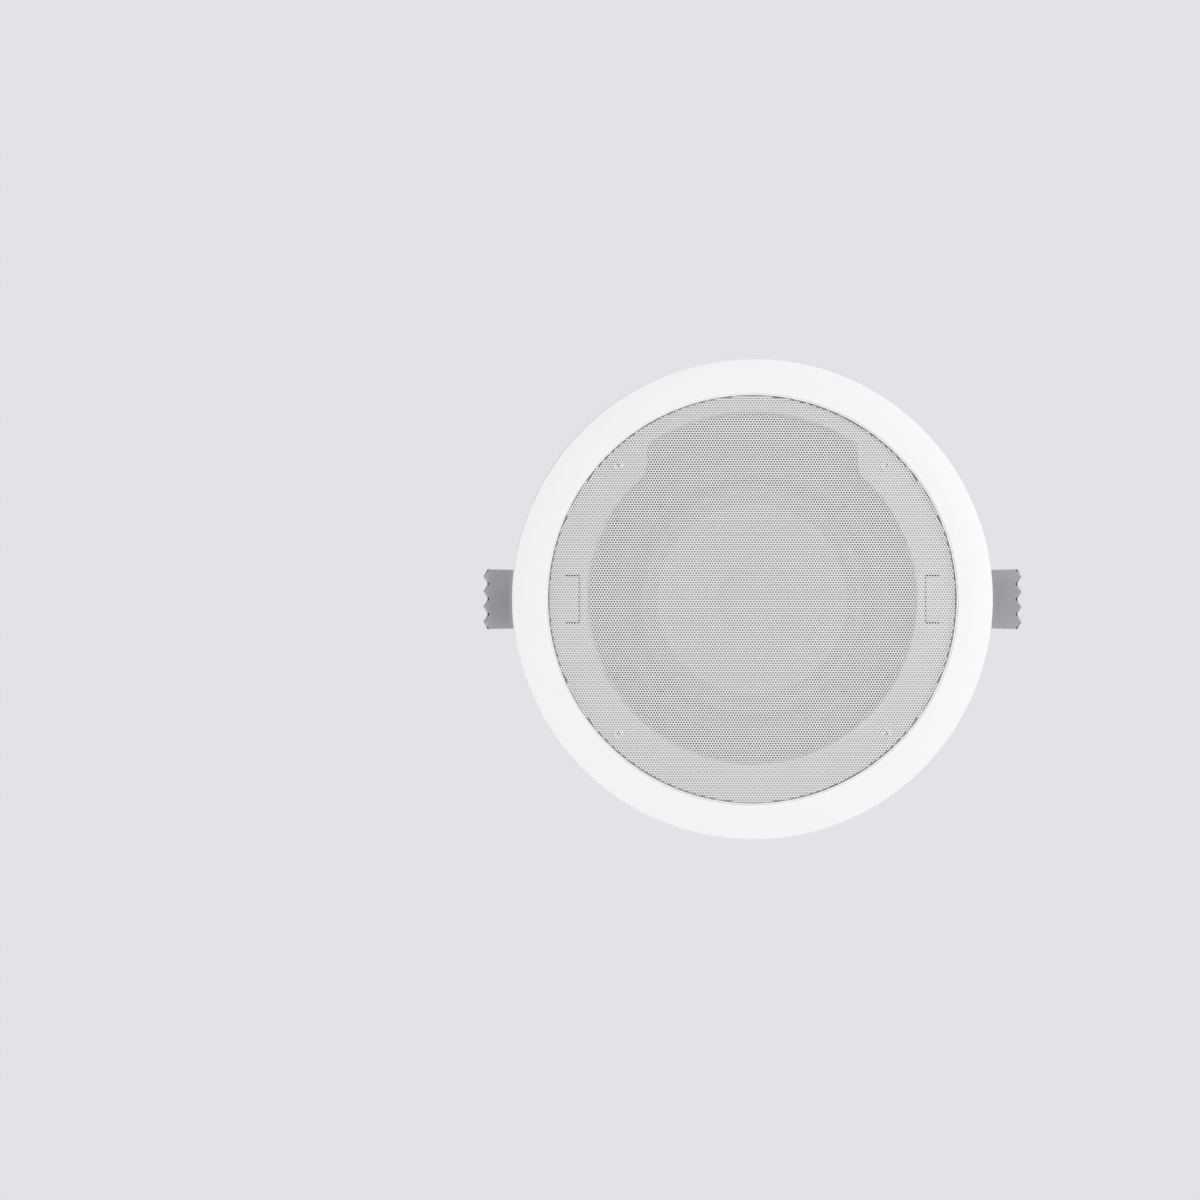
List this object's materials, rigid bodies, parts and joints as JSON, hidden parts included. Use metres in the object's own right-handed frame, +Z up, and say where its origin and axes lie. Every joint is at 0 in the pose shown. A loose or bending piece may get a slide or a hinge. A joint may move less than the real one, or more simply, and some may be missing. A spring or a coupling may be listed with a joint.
{
  "type": "in-ceiling speaker",
  "caption": "Round in-ceiling loudspeaker with a domed perforated grille, a closed back box and sprung toothed arms that clamp it in a ceiling cut-out.",
  "frame": {"origin": "centre of the bezel's rear face, in the plane of the ceiling's lower face", "axes": "+Z up into the ceiling void, away from the grille; +X through the right arm; +Y through the lobe"},
  "size_m": [0.2618, 0.23, 0.1019],
  "materials": {
    "white_frame": "satin moulded",
    "white_grille": "satin powder coat",
    "white_box": "satin moulded",
    "zinc_steel": "zinc plated",
    "bracket_steel": "galvanised sheet",
    "spring_steel": "dull rolled sheet",
    "spring_wire": "drawn wire",
    "baffle_plastic": "fine matt",
    "basket_paint": "satin",
    "gasket_foam": "matt",
    "surround_rubber": "matt",
    "cone_paper": "pressed pulp",
    "cap_paper": "pressed pulp",
    "former_paper": "kraft",
    "copper_wire": "enamelled",
    "spider_cloth": "treated cotton",
    "plate_steel": "zinc plated",
    "ferrite": "fired, matt",
    "core_iron": "varnished laminations",
    "winding_tape": "tape over copper",
    "terminal_plastic": "moulded",
    "plug_rubber": "matt"
  },
  "bodies": {
    "housing": {"bezel_frame": "white_frame", "grille": "white_grille", "back_box": "white_box", "frame_screws": "zinc_steel", "frame_nuts": "zinc_steel", "right_bracket": "bracket_steel", "left_bracket": "bracket_steel", "right_pivot_pin": "zinc_steel", "left_pivot_pin": "zinc_steel", "right_torsion_spring": "spring_wire", "left_torsion_spring": "spring_wire", "baffle_plate": "baffle_plastic", "baffle_screws": "zinc_steel", "driver_basket": "basket_paint", "driver_gasket": "gasket_foam", "driver_screws": "zinc_steel", "surround": "surround_rubber", "spider": "spider_cloth", "top_plate": "plate_steel", "pole_yoke": "plate_steel", "magnet": "ferrite", "transformer_core": "core_iron", "transformer_winding": "winding_tape", "transformer_strap": "zinc_steel", "terminal_block": "terminal_plastic", "cable_plug": "plug_rubber"},
    "right_arm": {"right_arm": "spring_steel"},
    "left_arm": {"left_arm": "spring_steel"},
    "cone_assembly": {"cone": "cone_paper", "dust_cap": "cap_paper", "coil_former": "former_paper", "voice_coil": "copper_wire"}
  },
  "joints": [
    {"name": "right_arm_hinge", "type": "hinge", "parent": "housing", "child": "right_arm", "pos_m": [0.0905, 0, 0.0472], "axis": [0, -1, 0], "range_deg": [0, 124], "stiffness_Nm_per_rad": 0.12, "springref_deg": -57.3, "deforming": ["right_torsion_spring"]},
    {"name": "left_arm_hinge", "type": "hinge", "parent": "housing", "child": "left_arm", "pos_m": [-0.0905, 0, 0.0472], "axis": [0, 1, 0], "range_deg": [0, 124], "stiffness_Nm_per_rad": 0.12, "springref_deg": -57.3, "deforming": ["left_torsion_spring"]},
    {"name": "cone_travel", "type": "slide", "parent": "housing", "child": "cone_assembly", "axis": [0, 0, 1], "range_m": [-0.003, 0.003], "stiffness_N_per_m": 1500, "deforming": ["surround", "spider"]}
  ]
}
